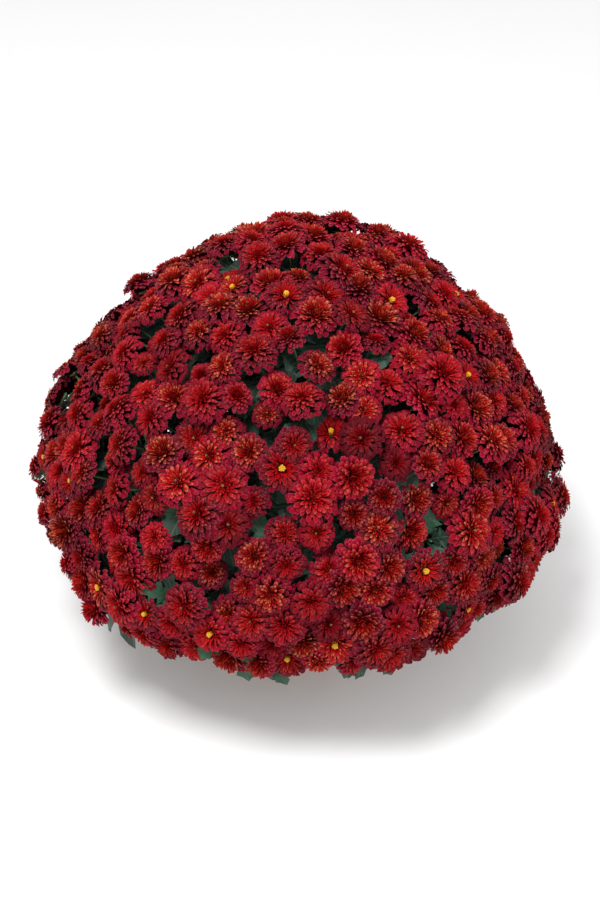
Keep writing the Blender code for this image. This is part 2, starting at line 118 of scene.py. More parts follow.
# The potting mix: fine bark and peat filled to just under the rim, a little crowned, with coarser bark
# chips and white perlite grains lying on it. The solid is shown as it is, and the loose bits are laid
# on top.

SOIL_TOP = 0.132
SOIL_CROWN = 0.004
SOIL_REACH = 0.108
SOIL_DARK = (0.020, 0.012, 0.008, 1)
SOIL_PALE = (0.085, 0.050, 0.030, 1)
BARK_RED = (0.115, 0.052, 0.026, 1)
PERLITE_WHITE = (0.62, 0.60, 0.55, 1)
BARK_CHIPS = 320
BARK_SIZE = 0.0048
BARK_FLATNESS = 0.45
BARK_SEED = 3
PERLITE_GRAINS = 70
PERLITE_SIZE = 0.0022
PERLITE_FLATNESS = 0.8
PERLITE_SEED = 4
# How the loose bits differ in size and shape, and how they lie
BIT_SIZES = (0.4, 1.0)
BIT_WIDTHS = (0.4, 0.9)
BIT_THICKNESSES = (0.7, 1.2)
BIT_TILT = 0.5
BIT_LIFT = 0.1
WHOLE_TURN = 6.3

potting_mix, tree, shader = new_finish("potting_mix")
where = node(tree, "TexCoord", {}).outputs["Object"]
crumbs = node(tree, "TexVoronoi", {"Vector": where, "Scale": 260.0}).outputs["Distance"]
patches = grain(tree, where, 45.0, 6.0, 0.6)
colour = blended(tree, between(tree, patches, 0.35, 0.7), SOIL_DARK, SOIL_PALE)
tree.links.new(colour, shader.inputs["Base Color"])
tree.links.new(between(tree, patches, 0.3, 0.7, 0.82, 0.98), shader.inputs["Roughness"])
height = node(tree, "Math", {0: crumbs, 1: patches}, operation="ADD").outputs[0]
relief(tree, shader, height, 0.9, 0.004)
clad(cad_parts["potting_soil"], potting_mix)

bark, tree, shader = new_finish("bark_chip")
where = node(tree, "TexCoord", {}).outputs["Object"]
fibres = node(tree, "Mapping", {"Vector": where, "Scale": (1.0, 0.25, 1.0)}).outputs["Vector"]
streaks = grain(tree, fibres, 420.0, 5.0, 0.6)
colour = blended(tree, between(tree, streaks, 0.35, 0.65), SOIL_DARK, BARK_RED)
tree.links.new(colour, shader.inputs["Base Color"])
tree.links.new(between(tree, streaks, 0.3, 0.7, 0.75, 0.95), shader.inputs["Roughness"])
relief(tree, shader, streaks, 0.6, 0.0008)

perlite, tree, shader = new_finish("perlite_grain")
where = node(tree, "TexCoord", {}).outputs["Object"]
pores = grain(tree, where, 900.0, 4.0, 0.7)
colour = blended(tree, between(tree, pores, 0.5, 0.75), PERLITE_WHITE, SOIL_PALE)
tree.links.new(colour, shader.inputs["Base Color"])
tree.links.new(between(tree, pores, 0.3, 0.7, 0.7, 0.9), shader.inputs["Roughness"])
relief(tree, shader, pores, 0.6, 0.0006)


def around(reach, azimuth, level):
    """A place by its distance and direction from the plant's middle line, and its level."""
    return Vector((reach * math.cos(azimuth), reach * math.sin(azimuth), level))


def strew(name, count, size, flatness, material, seed):
    """Loose bits lying on the potting mix, as one piece."""
    draw = random.Random(seed)
    bits = bmesh.new()
    for _ in range(count):
        reach = SOIL_REACH * math.sqrt(draw.random()) - size
        azimuth = draw.uniform(0, 2 * math.pi)
        level = SOIL_TOP + SOIL_CROWN * (1 - (reach / SOIL_REACH) ** 2)
        radius = size * draw.uniform(*BIT_SIZES)
        made = bmesh.ops.create_icosphere(bits, subdivisions=1, radius=radius)["verts"]
        width = draw.uniform(*BIT_WIDTHS)
        shape = Matrix.Diagonal((1.0, width, flatness * draw.uniform(*BIT_THICKNESSES), 1.0))
        tumble = Matrix.Rotation(draw.uniform(-BIT_TILT, BIT_TILT), 4, "X")
        tumble = tumble @ Matrix.Rotation(draw.uniform(0, WHOLE_TURN), 4, "Z")
        place = Matrix.Translation(around(reach, azimuth, level + size * BIT_LIFT))
        bmesh.ops.transform(bits, matrix=place @ tumble @ shape, verts=made)
    return settled(name, bits, material)


def settled(name, made, *materials):
    """A finished bmesh as an object at the origin, in the scene."""
    mesh = bpy.data.meshes.new(name)
    made.to_mesh(mesh)
    made.free()
    for material in materials:
        mesh.materials.append(material)
    piece = bpy.data.objects.new(name, mesh)
    bpy.context.scene.collection.objects.link(piece)
    return piece


for loose in (
    strew("bark_chips", BARK_CHIPS, BARK_SIZE, BARK_FLATNESS, bark, BARK_SEED),
    strew("perlite_grains", PERLITE_GRAINS, PERLITE_SIZE, PERLITE_FLATNESS, perlite, PERLITE_SEED),
):
    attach(loose, "root")


# Where the blooms stand: a garden chrysanthemum is pinched until its shoots end in one even cushion.
# Each shoot carries a spray of blooms that bulges a little, with creases between the sprays, and here
# and there a side shoot has only leaves. The rule is that of the solids, and each bloom then strays.

# The cushion's radius at its widest level, its rise above that and its tuck below, and where it ends
CUSHION_RADIUS = 0.2855
CUSHION_RISE = 0.2974
CUSHION_TUCK = 0.1047
CUSHION_LEVEL = 0.1798
CUSHION_PEAK = 1.166
SKIRT_ANGLE = math.radians(107.7)
SKIRT_RAGGED = math.radians(9.2)
CUSHION_AREA = 0.56
CROWN_LIFT = 0.0134
CROWN_WIDTH = 0.561
# Crowded places push each other apart in rounds, as blooms do while they open
PARTING = 1.15
PARTING_ROUNDS = 40
PARTING_SHARE = 0.22
GOLDEN_TURN = math.pi * (3 - math.sqrt(5))
# How many blooms there are, and how far each may differ in width, place, lift and tilt
BLOOMS = 496
BLOOM_SEED = 4486
BLOOM_RADIUS = 0.0230
BLOOM_RADIUS_SPREAD = 0.0032
BLOOM_SHIFT = 0.012
BLOOM_LIFT = 0.0050
BLOOM_TILT = math.radians(11)
FACE_UP = 0.22
CALYX_DEPTH = 0.0125
SKEW_WAY = Vector((0.31, 0.17, 0.93))
LEAFY_PLACE_EVERY = 24
LEAFY_PLACE_FIRST = 150
SPRAYS = 27
SPRAY_LIFT = 0.0065
SPRAY_BULGE = 0.0040
SPRAY_REACH = 0.075
# How far a bloom strays and leans off the rule, how the cushion swells in lumps, and how deep a few
# low blooms stay between their neighbours
BLOOM_STRAY = 0.0056
BLOOM_WIDTHS = (0.86, 1.15)
BLOOM_LEAN = 0.26
LOW_BLOOMS = 0.18
LOW_BLOOM_DROP = 0.011
LOW_BLOOM_WIDTH = 0.90
STRAY_SEED = 41
SWELL = 0.0085
SWELL_SCALE = 26.0


class Site:
    """One bloom's place: where it stands, how it faces, how wide it is, and its spray."""

    def __init__(self, centre, axis, radius, spray, leafy):
        self.centre = centre
        self.axis = axis
        self.radius = radius
        self.spray = spray
        self.leafy = leafy

    def stir(self, draw):
        """Moves, sizes and leans the bloom a little off the even rule, or sinks it as a low one."""
        across, other = side_axes(self.axis)
        self.centre += across * draw.uniform(-BLOOM_STRAY, BLOOM_STRAY)
        self.centre += other * draw.uniform(-BLOOM_STRAY, BLOOM_STRAY)
        if draw.random() < LOW_BLOOMS:
            self.centre -= self.axis * LOW_BLOOM_DROP
            self.radius *= LOW_BLOOM_WIDTH
        self.radius *= draw.uniform(*BLOOM_WIDTHS)
        self.centre += self.axis * SWELL * noise.noise(self.centre * SWELL_SCALE)
        lean = across * draw.uniform(-BLOOM_LEAN, BLOOM_LEAN)
        lean += other * draw.uniform(-BLOOM_LEAN, BLOOM_LEAN)
        self.axis = (self.axis + lean).normalized()
        self.base = self.centre - self.axis * CALYX_DEPTH


def cushion_angles(point):
    """Angle from the cushion's top and azimuth of the place on it nearest to a point."""
    level = point.z - CUSHION_LEVEL
    rise = CUSHION_RISE if level > 0 else CUSHION_TUCK
    out = (math.hypot(point.x, point.y) / CUSHION_RADIUS) ** (1 / CUSHION_PEAK)
    return min(math.atan2(out, level / rise), SKIRT_ANGLE), math.atan2(point.y, point.x)


def cushion_point(angle, azimuth):
    """The cushion's surface at an angle down from its top."""
    rise = CUSHION_RISE if angle < math.pi / 2 else CUSHION_TUCK
    out = CUSHION_RADIUS * math.sin(angle) ** CUSHION_PEAK
    return around(out, azimuth, CUSHION_LEVEL + rise * math.cos(angle))


def cushion_normal(angle, azimuth):
    """The way a bloom faces there."""
    out = CUSHION_RISE * math.sin(angle)
    up = CUSHION_RADIUS * CUSHION_PEAK * math.sin(angle) ** (CUSHION_PEAK - 1) * math.cos(angle)
    return around(out, azimuth, up).normalized()


def even_places(count, shift, draw):
    """Even places over the cushion: a shaken spiral whose crowded points part."""
    spots = []
    hems = [SKIRT_ANGLE - draw.uniform(0, SKIRT_RAGGED) for _ in range(count)]
    for number in range(count):
        angle = math.acos(1 - (1 - math.cos(SKIRT_ANGLE)) * (number + 0.5) / count)
        point = cushion_point(angle, number * GOLDEN_TURN)
        spots.append(point + Vector([draw.uniform(-shift, shift) for _ in range(3)]))
    wanted = PARTING * math.sqrt(CUSHION_AREA / count)
    for _ in range(PARTING_ROUNDS):
        spots_tree = KDTree(count)
        for number, spot in enumerate(spots):
            spots_tree.insert(spot, number)
        spots_tree.balance()
        moved = []
        for spot, hem in zip(spots, hems):
            push = Vector()
            for other, _, distance in spots_tree.find_range(spot, wanted):
                if distance > 1e-6:
                    push += (spot - other) * (wanted / distance - 1) * PARTING_SHARE
            angle, azimuth = cushion_angles(spot + push)
            moved.append(cushion_point(min(angle, hem), azimuth))
        spots = moved
    return [cushion_angles(spot) for spot in spots]


def side_axes(axis):
    """Two directions square to an axis and to each other."""
    across = axis.cross(SKEW_WAY).normalized()
    return across, axis.cross(across)


def place_blooms():
    """Every bloom's site, sorted into sprays."""
    draw = random.Random(BLOOM_SEED)
    centres = [cushion_point(*place) for place in even_places(SPRAYS, 0, draw)]
    lifts = [draw.uniform(-SPRAY_LIFT, SPRAY_LIFT) for _ in centres]
    found = []
    for number, place in enumerate(even_places(BLOOMS, BLOOM_SHIFT, draw)):
        point = cushion_point(*place)
        normal = cushion_normal(*place)
        across, along = side_axes(normal)
        spray = min(range(SPRAYS), key=lambda centre: (point - centres[centre]).length)
        edge = (point - centres[spray]).length / SPRAY_REACH
        lift = lifts[spray] - SPRAY_BULGE * edge * edge + draw.uniform(-BLOOM_LIFT, BLOOM_LIFT)
        lift += CROWN_LIFT * max(0, 1 - place[0] / CROWN_WIDTH)
        lean = across * draw.uniform(-1, 1) + along * draw.uniform(-1, 1)
        axis = (normal + lean * math.tan(BLOOM_TILT) + Vector((0, 0, FACE_UP))).normalized()
        radius = BLOOM_RADIUS + draw.uniform(-BLOOM_RADIUS_SPREAD, BLOOM_RADIUS_SPREAD)
        leafy = number >= LEAFY_PLACE_FIRST and number % LEAFY_PLACE_EVERY == 0
        found.append(Site(point + normal * lift, axis, radius, spray, leafy))
    return found


sites = place_blooms()
stray_draw = random.Random(STRAY_SEED)
for site in sites:
    site.stir(stray_draw)


# The leafy shoots: one green stem to a spray, out of the potting mix and arching up under the blooms,
# where it forks into a flower stalk for each, with a cup of green bracts under the petals. Lobed, dull
# green leaves stand along stem and stalks, veined above and paler below. Leaves deep inside the plant
# and among its upper blooms carry painted shade, a darker green.

SHOOT_SEED = 500
CROWN_CIRCLE_RADIUS = 0.070
STEM_SPRING = 0.060
STEM_SPREAD = 0.3
STEM_FOOT = 0.120
STEM_WIDTHS = (0.0036, 0.0026)
STEM_TOP_RISE = 0.010
HEAD_DEPTH = 0.055
FORK_HEIGHTS = (-0.012, 0.010)
STALK_WIDTHS = (0.0015, 0.0011)
STALK_CURVE = 0.030
CUP_WIDTHS = (0.0011, 0.0040, 0.0062, 0.0050)
CUP_DEPTH = 0.0045
NEAR_MIDDLE = 0.004
TWIN_TURN = 2.6
TWIN_RISE = 0.25
TWIN_HANG = Vector((0, 0, -0.15))
TWIN_FACE_UP = Vector((0, 0, 0.6))
LEAF_LENGTHS = (0.038, 0.054)
LEAF_THICKNESS = 0.0005
LEAF_DROOPS = (0.10, 0.34)
LEAF_FOLDS = (0.15, 0.45)
LEAF_SWAY = 0.10
LEAF_WAVE = 0.045
WAVE_STEP = 2.2
WAVE_HEIGHT = 4
LEAF_WIDEST = 0.35
LEAFY_PLACE_SINK = 0.018
LEAFY_PLACE_LEAVES = 5
LEAFY_PLACE_LENGTHS = (0.034, 0.042)
LEAFY_PLACE_SHUFFLE = 0.3
LEAFY_PLACE_RISES = (0.6, 0.9)
LEAFY_PLACE_SPREAD = 0.6
# A stalk's leaf swings round its shoot's axis, away from the shoot's middle
STALK_LEAF_SWING = 1.1
STALK_LEAVES_APART = 1.2
STALK_LEAF_REACH = 0.85
STALK_LEAF_RISES = (0.05, 0.35)
STALK_LEAF_FACE_UP = Vector((0, 0, 0.4))
# A leaf's outline from its stalk's foot to its tip: share of the length, half width as a share of it
LEAF_OUTLINE = (
    (0.0, 0.0), (0.14, 0.020), (0.24, 0.035), (0.30, 0.17), (0.44, 0.30), (0.47, 0.15),
    (0.66, 0.35), (0.70, 0.17), (0.86, 0.22), (0.90, 0.12), (1.0, 0.0),
)
# An inner leaf, mostly hidden by the blooms, has fewer lobes
INNER_OUTLINE = ((0.0, 0.0), (0.24, 0.05), (0.44, 0.32), (0.68, 0.38), (0.88, 0.20), (1.0, 0.0))
INNER_LENGTHS = (0.042, 0.054)
INNER_LEAVES = 3
INNER_SHUFFLE = 0.5
INNER_RISES = (-0.1, 0.35)
# How much of the lighter green the leaves get inside the plant and among its upper blooms. The rest is
# painted shade, darker there as if in shadow. Leaves keep the lighter green in full where a bloom's axis
# rises less than the side slope, and where it rises still less leaves hang down
INNER_LIT_SHARE = 0.1
TOP_LIT_SHARE = 0.3
SIDE_SLOPE = 0.5
SKIRT_SLOPE = 0.35
SKIRT_HANG = Vector((0, 0, -0.7))
LEAF_DARK = (0.004, 0.018, 0.011, 1)
LEAF_FRESH = (0.024, 0.092, 0.046, 1)
LEAF_BELOW = (0.055, 0.115, 0.078, 1)
LEAF_VEIN = (0.060, 0.125, 0.065, 1)
STALK_GREEN = (0.105, 0.155, 0.060, 1)
STALK_WOODY = (0.120, 0.085, 0.050, 1)

leaf_skin, tree, shader = new_finish("leaf_green")
parts = node(tree, "Attribute", {}, attribute_name="leaf_place").outputs["Vector"]
parts = node(tree, "SeparateXYZ", {0: parts}).outputs
along, sideways, chance = parts["X"], parts["Y"], parts["Z"]
below = node(tree, "Attribute", {}, attribute_name="leaf_below").outputs["Fac"]
out = node(tree, "Math", {0: sideways}, operation="ABSOLUTE").outputs[0]
slant = node(tree, "Math", {0: out, 1: -0.55, 2: along}, operation="MULTIPLY_ADD").outputs[0]
ribs = node(tree, "Math", {0: slant, 1: 11.0}, operation="MULTIPLY").outputs[0]
ribs = node(tree, "Math", {0: ribs, 1: 1.0}, operation="PINGPONG").outputs[0]
ribs = between(tree, ribs, 0.24, 0.04)
midrib = between(tree, out, 0.10, 0.02)
veins = node(tree, "Math", {0: ribs, 1: midrib}, operation="MAXIMUM").outputs[0]
where = node(tree, "TexCoord", {}).outputs["Object"]
mottle = grain(tree, where, 160.0, 5.0, 0.6)
# chance holds each leaf's random tone, scaled down by painted shade deep in the plant and among the upper
# blooms
tone = node(tree, "Math", {0: mottle, 1: 0.6, 2: chance}, operation="MULTIPLY_ADD").outputs[0]
colour = blended(tree, between(tree, tone, 0.3, 1.3), LEAF_DARK, LEAF_FRESH)
colour = blended(tree, between(tree, below, 0.0, 1.0, 0.0, 0.6), colour, LEAF_BELOW)
colour = blended(tree, between(tree, veins, 0.0, 1.0, 0.0, 0.45), colour, LEAF_VEIN)
tree.links.new(colour, shader.inputs["Base Color"])
tree.links.new(between(tree, mottle, 0.3, 0.7, 0.50, 0.68), shader.inputs["Roughness"])
shader.inputs["Specular IOR Level"].default_value = 0.35
shader.inputs["Sheen Weight"].default_value = 0.12
puckers = node(tree, "Math", {0: veins, 1: -0.7, 2: mottle}, operation="MULTIPLY_ADD").outputs[0]
relief(tree, shader, puckers, 0.6, 0.0012)

stalk_skin, tree, shader = new_finish("stalk_green")
where = node(tree, "TexCoord", {}).outputs["Object"]
age = between(tree, node(tree, "SeparateXYZ", {0: where}).outputs["Z"], 0.26, 0.14)
fibres = node(tree, "Mapping", {"Vector": where, "Scale": (1.0, 1.0, 0.08)}).outputs["Vector"]
ridges = grain(tree, fibres, 700.0)
colour = blended(tree, age, STALK_GREEN, STALK_WOODY)
colour = blended(tree, between(tree, ridges, 0.45, 0.75, 0.0, 0.5), colour, LEAF_VEIN)
tree.links.new(colour, shader.inputs["Base Color"])
tree.links.new(between(tree, ridges, 0.3, 0.7, 0.55, 0.75), shader.inputs["Roughness"])
relief(tree, shader, ridges, 0.5, 0.0005)


def blank(corners, stations, pinched):
    """A straight tube to be bent: its corners on the unit circle, its stations at whole heights."""
    made = bmesh.new()
    span = len(stations) - 1
    bmesh.ops.create_cone(made, cap_ends=True, segments=corners, radius1=1, radius2=1, depth=span)
    bmesh.ops.translate(made, verts=made.verts, vec=(0, 0, span / 2))
    for level in range(1, span):
        everything = made.verts[:] + made.edges[:] + made.faces[:]
        bmesh.ops.bisect_plane(made, geom=everything, plane_co=(0, 0, level), plane_no=(0, 0, 1))
    if pinched:
        for end in (0, span):
            ring = [v for v in made.verts if abs(v.co.z - end) < 0.01]
            bmesh.ops.pointmerge(made, verts=ring, merge_co=(0, 0, end))
    for face in made.faces:
        face.smooth = True
    return made


def taken_from(made, name):
    """A bmesh kept as a mesh, to be laid many times."""
    mesh = bpy.data.meshes.new(name)
    made.to_mesh(mesh)
    made.free()
    return mesh


def laid(pile, pattern):
    """Adds one more of a pattern to a pile, and gives its new corners."""
    before = len(pile.verts)
    pile.from_mesh(pattern)
    pile.verts.ensure_lookup_table()
    return pile.verts[before:]


def bow(start, middle, end, share):
    """A point on the curve that leaves start towards middle and comes into end from it."""
    return start * (1 - share) ** 2 + middle * 2 * share * (1 - share) + end * share**2


def bent_along(corners, points, widths):
    """Bends a laid tube along a line of points, with a width at each."""
    turns = []
    for number, point in enumerate(points):
        ahead = points[min(number + 1, len(points) - 1)] - points[max(number - 1, 0)]
        across, other = side_axes(ahead.normalized())
        turns.append((point, across, other))
    for corner in corners:
        level = round(corner.co.z)
        point, across, other = turns[level]
        corner.co = point + (across * corner.co.x + other * corner.co.y) * widths[level]


def leaf_cut(outline, name):
    """A leaf's outline with the flat pattern to be bent to it."""
    made = blank(4, outline, True)
    below = made.faces.layers.float.new("leaf_below")
    made.verts.layers.float_vector.new("leaf_place")
    for face in made.faces:
        face[below] = 1.0 if face.calc_center_median().y < 0 else 0.0
    for edge in made.edges:
        edge.smooth = not all(abs(v.co.y) < 0.01 for v in edge.verts)
    return outline, taken_from(made, name)


lobed_leaf = leaf_cut(LEAF_OUTLINE, "lobed_leaf")
inner_leaf = leaf_cut(INNER_OUTLINE, "inner_leaf")
stem_steps = range(9)
stem_pattern = taken_from(blank(8, stem_steps, False), "stem_pattern")
stalk_steps = range(6)
stalk_pattern = taken_from(blank(4, stalk_steps, False), "stalk_pattern")
cup_pattern = taken_from(blank(6, CUP_WIDTHS, False), "cup_pattern")


def lay_leaf(pile, foot, along, up, length, draw, cut=lobed_leaf, lit_share=1.0):
    """One leaf, folded a little along its midrib, with its tip drooping and its lobes waved."""
    outline, pattern = cut
    side = along.cross(up).normalized()
    top = side.cross(along).normalized()
    droop = draw.uniform(*LEAF_DROOPS)
    fold = draw.uniform(*LEAF_FOLDS)
    sway = draw.uniform(-LEAF_SWAY, LEAF_SWAY)
    phase = draw.uniform(0, WHOLE_TURN)
    # The random tone is scaled down by lit_share: painted shade on leaves inside the plant and among the
    # upper blooms
    chance = draw.random() * lit_share
    mark = pile.verts.layers.float_vector["leaf_place"]
    for corner in laid(pile, pattern):
        level = round(corner.co.z)
        share, half = outline[level]
        out, face_side = corner.co.x, corner.co.y
        wave = math.sin(level * WAVE_STEP + phase + out) * LEAF_WAVE * abs(out)
        spine = foot + along * length * share - top * length * droop * share**2
        spine += side * length * sway * share**2
        corner.co = spine + side * (out * half * length)
        corner.co += top * length * (abs(out) * half * fold + wave * half * WAVE_HEIGHT)
        corner.co += top * LEAF_THICKNESS * (face_side - 1) * (1 if 0 < level < len(outline) - 1 else 0)
        corner[mark] = (share, out * half / LEAF_WIDEST, chance)


def stem_line(number, top):
    """A stem's line: straight up out of the potting mix, then arching out to its head."""
    reach = CROWN_CIRCLE_RADIUS * math.sqrt((number + 0.5) / SPRAYS)
    azimuth = number * GOLDEN_TURN
    foot = around(reach, azimuth, STEM_FOOT)
    collar = foot + Vector((0, 0, SOIL_TOP + SOIL_CROWN - STEM_FOOT))
    spring = collar + Vector((foot.x * STEM_SPREAD, foot.y * STEM_SPREAD, STEM_SPRING))
    count = len(stem_steps) - 1
    return [foot] + [bow(collar, spring, top, step / (count - 1)) for step in range(count)]


def tapered(widths, count):
    """Widths from the first to the last, evenly."""
    return [widths[0] + (widths[1] - widths[0]) * step / (count - 1) for step in range(count)]


def leaning(axes, azimuth):
    """The direction at an azimuth round an axis, from its two side directions."""
    return axes[0] * math.cos(azimuth) + axes[1] * math.sin(azimuth)


def grow_shoot(number):
    """One shoot's stem, flower stalks and cups, and its leaves, as two bmeshes."""
    draw = random.Random(SHOOT_SEED + number)
    own = [site for site in sites if site.spray == number]
    axis = sum((site.axis for site in own), Vector()).normalized()
    middle = sum((site.base for site in own), Vector()) / len(own)
    root = middle - axis * HEAD_DEPTH
    wood = bmesh.new()
    leaves = bmesh.new()
    leaves.faces.layers.float.new("leaf_below")
    leaves.verts.layers.float_vector.new("leaf_place")
    line = stem_line(number, root + axis * STEM_TOP_RISE)
    bent_along(laid(wood, stem_pattern), line, tapered(STEM_WIDTHS, len(line)))
    for step, point in enumerate(line[3:-1]):
        for twin in (0, 1):
            azimuth = step * GOLDEN_TURN + twin * TWIN_TURN + number
            lean = leaning(side_axes((line[step + 4] - point).normalized()), azimuth)
            along = (lean + axis * TWIN_RISE + TWIN_HANG).normalized()
            lay_leaf(leaves, point, along, axis + TWIN_FACE_UP, draw.uniform(*LEAF_LENGTHS), draw)
    for site in own:
        fork = root + axis * draw.uniform(*FORK_HEIGHTS)
        elbow = site.base - site.axis * STALK_CURVE
        stalk = [bow(fork, elbow, site.base, step / stalk_steps[-1]) for step in stalk_steps]
        bent_along(laid(wood, stalk_pattern), stalk, tapered(STALK_WIDTHS, len(stalk)))
        lateral = site.base - middle
        lateral = lateral - axis * lateral.dot(axis)
        lateral = lateral.normalized() if lateral.length > NEAR_MIDDLE else side_axes(axis)[0]
        axes = side_axes(site.axis)
        for turn in range(INNER_LEAVES):
            azimuth = turn * 2 * math.pi / INNER_LEAVES + draw.uniform(-INNER_SHUFFLE, INNER_SHUFFLE)
            along = (leaning(axes, azimuth) + site.axis * draw.uniform(*INNER_RISES)).normalized()
            length = draw.uniform(*INNER_LENGTHS)
            # Inner leaves get the deepest painted shade
            lay_leaf(leaves, stalk[3], along, site.axis, length, draw, inner_leaf, INNER_LIT_SHARE)
        if site.leafy:
            for turn in range(LEAFY_PLACE_LEAVES):
                azimuth = turn * 2 * math.pi / LEAFY_PLACE_LEAVES
                azimuth += draw.uniform(-LEAFY_PLACE_SHUFFLE, LEAFY_PLACE_SHUFFLE)
                spread = leaning(axes, azimuth) * LEAFY_PLACE_SPREAD
                along = (site.axis * draw.uniform(*LEAFY_PLACE_RISES) + spread).normalized()
                foot = site.base - site.axis * LEAFY_PLACE_SINK
                length = draw.uniform(*LEAFY_PLACE_LENGTHS)
                lay_leaf(leaves, foot, along, site.axis - spread, length, draw)
            continue
        rings = range(len(CUP_WIDTHS))
        cup = [site.base + site.axis * CUP_DEPTH * ring / rings[-1] for ring in rings]
        bent_along(laid(wood, cup_pattern), cup, CUP_WIDTHS)
        aside = site.axis.z < SIDE_SLOPE
        for level in (2, 4) if aside else (2,):
            swing = draw.uniform(-STALK_LEAF_SWING, STALK_LEAF_SWING) + (level - 3) * STALK_LEAVES_APART
            along = Matrix.Rotation(swing, 3, axis) @ lateral * STALK_LEAF_REACH
            along = (along + axis * draw.uniform(*STALK_LEAF_RISES)).normalized()
            if site.axis.z < SKIRT_SLOPE and level == 2:
                along = (along + SKIRT_HANG).normalized()
            up = site.axis + STALK_LEAF_FACE_UP
            length = draw.uniform(*LEAF_LENGTHS)
            # Leaves among the upper blooms get painted shade, and leaves on the sides keep their full tone
            lit_share = 1.0 if aside else TOP_LIT_SHARE
            lay_leaf(leaves, stalk[level], along, up, length, draw, lit_share=lit_share)
    return wood, leaves


for number in range(SPRAYS):
    wood, leaves = grow_shoot(number)
    stalks = settled(f"stalks_{number + 1:02d}", wood, stalk_skin)
    foliage = settled(f"foliage_{number + 1:02d}", leaves, leaf_skin)
    for piece in (stalks, foliage):
        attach(piece, "root")
        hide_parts(f"leafy_shoot_{number + 1:02d}")


# The bloom sprays: domed double heads of some 110 to 150 thin crimson petals, that all spring from one
# low receptacle and end on a dome. Each bends outwards there and lies like a scale over the next, blunt
# and pale-rimmed. The pale rims are partly a painted sheen highlight, and painted shade darkens each
# petal's foot. Some heads close over a golden button of florets, and a few open on a yellow disc.

# A petal's outline from foot to tip: share of its length, half width as a share of its widest
LONG_PETAL = ((0.0, 0.0), (0.44, 0.52), (0.74, 1.0), (0.93, 0.80), (1.0, 0.0))
SHORT_PETAL = ((0.0, 0.0), (0.62, 0.92), (0.91, 0.80), (1.0, 0.0))
INNER_PETAL = ((0.0, 0.0), (0.72, 1.0), (1.0, 0.0))
# A head's measures are shares of its radius, and its layers count from 0 at the rim to 1 in the middle
LONG_LAYERS = 0.18
INNER_LAYERS = 0.72
PETAL_HALF_WIDTHS = (0.146, 0.060)
PETAL_RIDGE = 0.24
PETAL_TWIST = 0.45
PETAL_STRAY = 0.085
PETAL_SHUFFLE = 0.18
PETAL_WIDTHS = (0.85, 1.15)
PETAL_BENDS = 0.10
PETAL_PACKING = 0.92
SCALE_LENGTH = 0.44
SCALE_SHORTEST = 0.15
SCALE_GROWTH = 1.2
HOLLOW_TURN = math.radians(32)
RECEPTACLE_DROP = 0.42
RECEPTACLE_RADIUS = 0.14
RECEPTACLE_TAPER = 0.8
RIM_TURN = math.radians(101)
DOME_SINK = 0.08
DISC_RADIUS = 0.13
DISC_SINK = 0.13
DISC_FLORETS = 19
DISC_ROUNDING = 0.3
FLORET_WIDTHS = (0.034, 0.026)
FLORET_HEIGHT = 0.2
BUTTON_RADIUS = 0.075
BUTTON_SINK = 1.5
HEAD_WIDTH = 0.95
HEAD_ROUNDNESS = (0.92, 1.06)
HEAD_HEIGHTS = (0.95, 1.30)
# A bloom's tone: how bright it is, how much bronze shows in it, more often near the top, how faded it is
BRIGHTNESS = (-0.45, 0.70)
BRONZE_SHARES = (0.10, 0.35)
BRONZE_STRONG = (0.6, 1.0)
BRONZE_WEAK = (0.0, 0.3)
BRONZE_MORE = 0.30
FADED_OLD = (0.25, 0.60)
FADED_YOUNG = (0.0, 0.12)
CRIMSON_OUTER = (0.225, 0.000, 0.020, 1)
CRIMSON_DEEP = (0.060, 0.001, 0.002, 1)
CRIMSON_BRIGHT = (0.350, 0.000, 0.008, 1)
CRIMSON_WARM = (0.420, 0.001, 0.004, 1)
# The pale rim colour is partly the petals' own paler edge and partly a painted sheen highlight
PETAL_PALE_RIM_AND_SHEEN = (0.500, 0.110, 0.150, 1)
# Painted shade in the crevices at the petals' feet
PETAL_FOOT_SHADE = (0.034, 0.001, 0.001, 1)
PETAL_BACK = (0.330, 0.008, 0.004, 1)
PETAL_GOLD = (0.780, 0.300, 0.110, 1)
PETAL_FADED = (0.060, 0.001, 0.004, 1)
DISC_YELLOW = (0.900, 0.520, 0.020, 1)
DISC_OLIVE = (0.620, 0.340, 0.015, 1)
BUTTON_GOLD = (0.480, 0.210, 0.035, 1)
BUTTON_BROWN = (0.130, 0.035, 0.010, 1)

petal_skin, tree, shader = new_finish("crimson_petal")
parts = node(tree, "Attribute", {}, attribute_name="petal_place").outputs["Vector"]
parts = node(tree, "SeparateXYZ", {0: parts}).outputs
along, sideways, layer = parts["X"], parts["Y"], parts["Z"]
chance = node(tree, "Attribute", {}, attribute_name="petal_chance").outputs["Fac"]
back = node(tree, "Attribute", {}, attribute_name="petal_back").outputs["Fac"]
tones = node(tree, "Attribute", {}, attribute_name="bloom_tone").outputs["Vector"]
tones = node(tree, "SeparateXYZ", {0: tones}).outputs
bright, bronze, faded = tones["X"], tones["Y"], tones["Z"]
shuffled = node(tree, "Math", {0: chance, 1: 37.0}, operation="MULTIPLY").outputs[0]
wide = node(tree, "Math", {0: sideways, 1: 3.2}, operation="MULTIPLY").outputs[0]
lines = node(tree, "CombineXYZ", {0: along, 1: wide, 2: shuffled}).outputs[0]
veins = grain(tree, lines, 2.6, 3.0, 0.55)
tone = node(tree, "Math", {0: veins, 1: 0.5, 2: bright}, operation="MULTIPLY_ADD").outputs[0]
tone = node(tree, "Math", {0: chance, 1: 0.5, 2: tone}, operation="MULTIPLY_ADD").outputs[0]
colour = blended(tree, between(tree, tone, 0.25, 1.3), CRIMSON_DEEP, CRIMSON_BRIGHT)
colour = blended(tree, between(tree, layer, 0.55, 0.05, 0.0, 0.65), colour, CRIMSON_OUTER)
warm = between(tree, layer, 0.40, 0.95)
